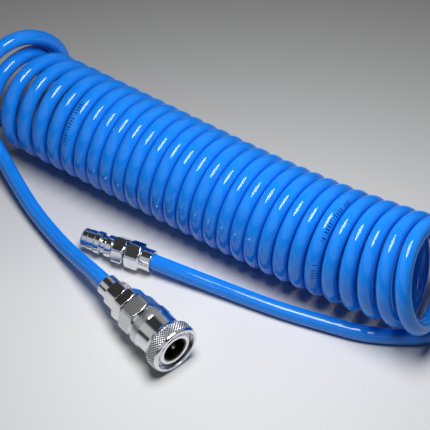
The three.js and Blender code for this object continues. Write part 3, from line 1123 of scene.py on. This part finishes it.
nut("plug_nut_finished", plug, "plug", "plug_nut", PLUG_NUT_ROLL)
plug_body()
nut("socket_nut_finished", socket, "socket", "socket_nut", SOCKET_ROLL)
socket_adapter()
ring(
    "adapter_gasket_finished", "socket", "adapter_gasket",
    start=20.9, end=21.3, inner=7.8, outer=8.4, edge=0.15,
)
socket_body()
lock_sleeve()
snap_ring()
ring(
    "nose_seal_finished", "socket", "nose_seal",
    start=38.3, end=40.1, inner=5.15, outer=6.7, edge=0.6,
)
valve()
ring(
    "valve_seal_finished", "valve", "valve_seal",
    start=33, end=33.8, inner=4.15, outer=5.6, edge=0.2,
)
spring(
    "sleeve_spring_finished", "sleeve_spring", radius=9.6, wire=0.4, start=32.5, end=42.3,
    turns=5, held_by="socket", pushes="sleeve",
)
spring(
    "valve_spring_finished", "valve_spring", radius=4.6, wire=0.45, start=19.1, end=31.1,
    turns=5, held_by="socket", pushes="valve",
)
for number in range(1, BALL_COUNT + 1):
    lock_ball(number)


# ---- floor, light and camera ----

# In metres. The light faces a point on the floor that lies a little behind it.
FLOOR_HALF_SIZE = 4.0
LIGHT_WIDTH = 0.17
LIGHT_DEPTH = 0.2
LIGHT_FACES_BACK = 0.02

# In millimetres from the origin of the hose's drawing.
LIGHT_PLACE = Vector((57, -57, 350))
CAMERA_PLACE = Vector((329.16, -473.54, 632.93))

LIGHT_POWER = 1.3
CAMERA_YAW = math.radians(-34.41)
CAMERA_PITCH = math.radians(-47.45)
CAMERA_LENS = 137.0


def floor():
    size = FLOOR_HALF_SIZE
    points = [(-size, -size, 0), (size, -size, 0), (size, size, 0), (-size, size, 0)]
    piece = new_mesh("floor", points, [(0, 1, 2, 3)])
    piece.data.materials.append(pale_floor())


def key_light():
    """An oval softbox over the coil, facing almost straight down."""
    data = bpy.data.lights.new("key", "AREA")
    data.shape = "ELLIPSE"
    data.size = LIGHT_WIDTH
    data.size_y = LIGHT_DEPTH
    data.energy = LIGHT_POWER
    lamp = bpy.data.objects.new("key", data)
    lamp.location = (Vector(origin) + LIGHT_PLACE) * MM
    target = Vector((lamp.location.x, lamp.location.y + LIGHT_FACES_BACK, 0))
    lamp.rotation_euler = (target - lamp.location).to_track_quat("-Z", "Y").to_euler()
    lamp.visible_camera = False
    bpy.context.scene.collection.objects.link(lamp)


# How bright the room looks in a mirror, from the near side (0) over the ceiling to the far
# side (1): pale panels low on both sides, and a dark ceiling.
ROOM_TONES = [
    (0.0, 0.04), (0.07, 0.05), (0.11, 0.55), (0.3, 0.5), (0.36, 0.04), (0.62, 0.03),
    (0.68, 0.3), (0.85, 0.35), (0.95, 0.1),
]

# The panels run along the socket's axis, which goes this far towards -Y for each step in X.
PANEL_SLOPE = 0.277
ROOM_COLOUR = (0.030, 0.032, 0.036, 1)


def world():
    """Dim room light, and for mirror-like surfaces a room with pale panels in it."""
    scene_world = bpy.data.worlds.new("studio")
    scene_world.use_nodes = True
    n = Nodes(scene_world.node_tree)
    room = n.tree.nodes["Background"]
    room.inputs["Color"].default_value = ROOM_COLOUR
    x, y, z = n.separated(n.add("TexCoord", "Generated"))
    front = n.add("Math", settings={"operation": "MULTIPLY_ADD"}, i0=x, i1=PANEL_SLOPE, i2=y)
    share = n.remap(n.math("ARCTAN2", front, z), -math.pi / 2, math.pi / 2, 0.0, 1.0)
    tones = n.add("ValToRGB", "Color", Fac=share)
    panels = tones.node.color_ramp.elements
    panels[0].position, panels[1].position = ROOM_TONES[0][0], ROOM_TONES[-1][0]
    for place, tone in ROOM_TONES[1:-1]:
        panels.new(place)
    for panel, (place, tone) in zip(panels, ROOM_TONES):
        panel.color = (tone, tone * 1.01, tone * 1.03, 1)
    mirrored = n.add("Background", Color=tones)
    glossy = n.add("LightPath", "Is Glossy Ray")
    choice = n.add("MixShader", i0=glossy, i1=room.outputs["Background"], i2=mirrored)
    n.value(n.tree.nodes["World Output"].inputs["Surface"], choice)
    bpy.context.scene.world = scene_world


def camera():
    """Looks down on the object from the front right, with a long lens."""
    level = math.cos(CAMERA_PITCH)
    ahead = Vector((
        level * math.sin(CAMERA_YAW), level * math.cos(CAMERA_YAW), math.sin(CAMERA_PITCH),
    ))
    data = bpy.data.cameras.new("camera")
    data.sensor_width = 36
    data.lens = CAMERA_LENS
    data.clip_start = 0.05
    eye = bpy.data.objects.new("camera", data)
    eye.location = (Vector(origin) + CAMERA_PLACE) * MM
    eye.rotation_euler = ahead.to_track_quat("-Z", "Y").to_euler()
    bpy.context.scene.collection.objects.link(eye)
    bpy.context.scene.camera = eye


floor()
world()
key_light()
camera()
bpy.context.scene.view_settings.view_transform = "Standard"
